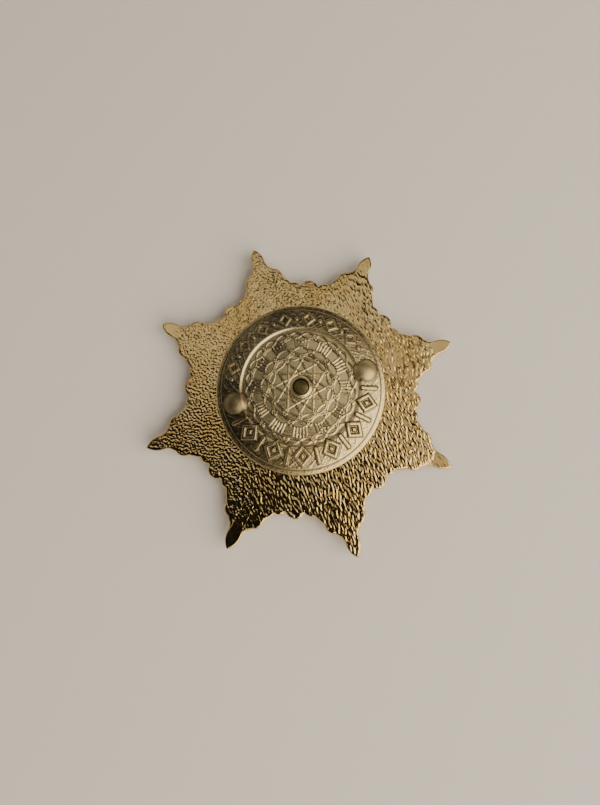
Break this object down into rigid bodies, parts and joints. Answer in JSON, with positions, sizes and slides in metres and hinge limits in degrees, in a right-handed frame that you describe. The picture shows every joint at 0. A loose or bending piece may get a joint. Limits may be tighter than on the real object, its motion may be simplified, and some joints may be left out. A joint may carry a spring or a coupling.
{
  "type": "breast badge",
  "caption": "Screw-back breast badge: a gilt star with leaf-pointed rays and a pebbled back, lying face down, with a round clutch nut on its threaded post.",
  "frame": {"origin": "centre of the star, on the surface that the badge lies on, which is the front boss's face", "axes": "+Z out of the back of the badge, along the post; +Y towards the upper ray, on whose side of the centre the post stands; X to the side"},
  "size_m": [0.064, 0.064, 0.0076],
  "materials": {
    "gilt_brass": "cast and gilt, pebbled back",
    "plain_brass": "dull, turned and threaded",
    "nickel_silver": "struck sheet with a low relief, dulled"
  },
  "bodies": {
    "star": {"star_plate": "gilt_brass", "boss_post": "plain_brass"},
    "nut": {"disc_nut": "nickel_silver"}
  },
  "joints": [
    {"name": "nut_travel", "type": "slide", "parent": "star", "child": "nut", "axis": [0, 0, 1], "range_m": [-0.0005, 0.008]}
  ]
}
